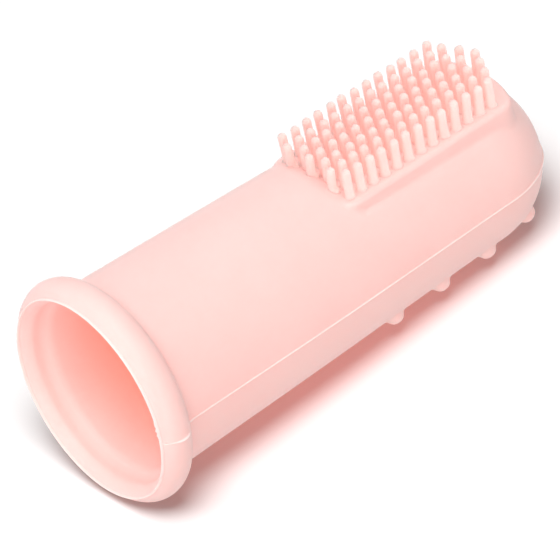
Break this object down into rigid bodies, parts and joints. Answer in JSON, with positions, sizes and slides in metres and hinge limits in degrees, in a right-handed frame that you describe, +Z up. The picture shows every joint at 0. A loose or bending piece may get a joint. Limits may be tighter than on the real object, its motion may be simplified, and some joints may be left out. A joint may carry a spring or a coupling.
{
  "type": "finger toothbrush",
  "caption": "Soft one-piece silicone finger sleeve with a rolled mouth, a raised pad of short bristles near the domed tip and massage nubs beneath, for brushing a pet's teeth.",
  "frame": {"origin": "centre of the bounding box on the floor, with the object lying bristles up on its rim and its last inner pair of nubs", "axes": "+X from the open mouth towards the domed tip, which hangs 3.9 degrees low; +Z up, out of the brush pad; +Y to the left seen from the mouth"},
  "size_m": [0.0572, 0.025, 0.0251],
  "materials": {
    "sleeve_silicone": "satin",
    "bristle_silicone": "satin"
  },
  "bodies": {
    "body": {"finger_sleeve": "sleeve_silicone", "mouth_rim": "sleeve_silicone", "brush_pad": "sleeve_silicone", "massage_nub_01": "sleeve_silicone", "massage_nub_02": "sleeve_silicone", "massage_nub_03": "sleeve_silicone", "massage_nub_04": "sleeve_silicone", "massage_nub_05": "sleeve_silicone", "massage_nub_06": "sleeve_silicone", "massage_nub_07": "sleeve_silicone", "massage_nub_08": "sleeve_silicone", "massage_nub_09": "sleeve_silicone", "massage_nub_10": "sleeve_silicone", "massage_nub_11": "sleeve_silicone", "massage_nub_12": "sleeve_silicone", "massage_nub_13": "sleeve_silicone", "massage_nub_14": "sleeve_silicone"},
    "bristle_row_1": {"bristle_row_1": "bristle_silicone"},
    "bristle_row_2": {"bristle_row_2": "bristle_silicone"},
    "bristle_row_3": {"bristle_row_3": "bristle_silicone"},
    "bristle_row_4": {"bristle_row_4": "bristle_silicone"},
    "bristle_row_5": {"bristle_row_5": "bristle_silicone"},
    "bristle_row_6": {"bristle_row_6": "bristle_silicone"},
    "bristle_row_7": {"bristle_row_7": "bristle_silicone"}
  },
  "joints": [
    {"name": "bristle_row_1_flex", "type": "hinge", "parent": "body", "child": "bristle_row_1", "pos_m": [0.00439, 0.0048, 0.01852], "axis": [0.9977, 0, -0.0677], "range_deg": [-25, 25], "stiffness_Nm_per_rad": 0.0008},
    {"name": "bristle_row_2_flex", "type": "hinge", "parent": "body", "child": "bristle_row_2", "pos_m": [0.00361, 0.0032, 0.01857], "axis": [0.9977, 0, -0.0677], "range_deg": [-25, 25], "stiffness_Nm_per_rad": 0.0008},
    {"name": "bristle_row_3_flex", "type": "hinge", "parent": "body", "child": "bristle_row_3", "pos_m": [0.00439, 0.0016, 0.01852], "axis": [0.9977, 0, -0.0677], "range_deg": [-25, 25], "stiffness_Nm_per_rad": 0.0008},
    {"name": "bristle_row_4_flex", "type": "hinge", "parent": "body", "child": "bristle_row_4", "pos_m": [0.00361, 0, 0.01857], "axis": [0.9977, 0, -0.0677], "range_deg": [-25, 25], "stiffness_Nm_per_rad": 0.0008},
    {"name": "bristle_row_5_flex", "type": "hinge", "parent": "body", "child": "bristle_row_5", "pos_m": [0.00439, -0.0016, 0.01852], "axis": [0.9977, 0, -0.0677], "range_deg": [-25, 25], "stiffness_Nm_per_rad": 0.0008},
    {"name": "bristle_row_6_flex", "type": "hinge", "parent": "body", "child": "bristle_row_6", "pos_m": [0.00361, -0.0032, 0.01857], "axis": [0.9977, 0, -0.0677], "range_deg": [-25, 25], "stiffness_Nm_per_rad": 0.0008},
    {"name": "bristle_row_7_flex", "type": "hinge", "parent": "body", "child": "bristle_row_7", "pos_m": [0.00439, -0.0048, 0.01852], "axis": [0.9977, 0, -0.0677], "range_deg": [-25, 25], "stiffness_Nm_per_rad": 0.0008}
  ],
  "couplings": [
    {"joint": "bristle_row_1_flex", "follows": "bristle_row_4_flex", "ratio": 1},
    {"joint": "bristle_row_2_flex", "follows": "bristle_row_4_flex", "ratio": 1},
    {"joint": "bristle_row_3_flex", "follows": "bristle_row_4_flex", "ratio": 1},
    {"joint": "bristle_row_5_flex", "follows": "bristle_row_4_flex", "ratio": 1},
    {"joint": "bristle_row_6_flex", "follows": "bristle_row_4_flex", "ratio": 1},
    {"joint": "bristle_row_7_flex", "follows": "bristle_row_4_flex", "ratio": 1}
  ]
}
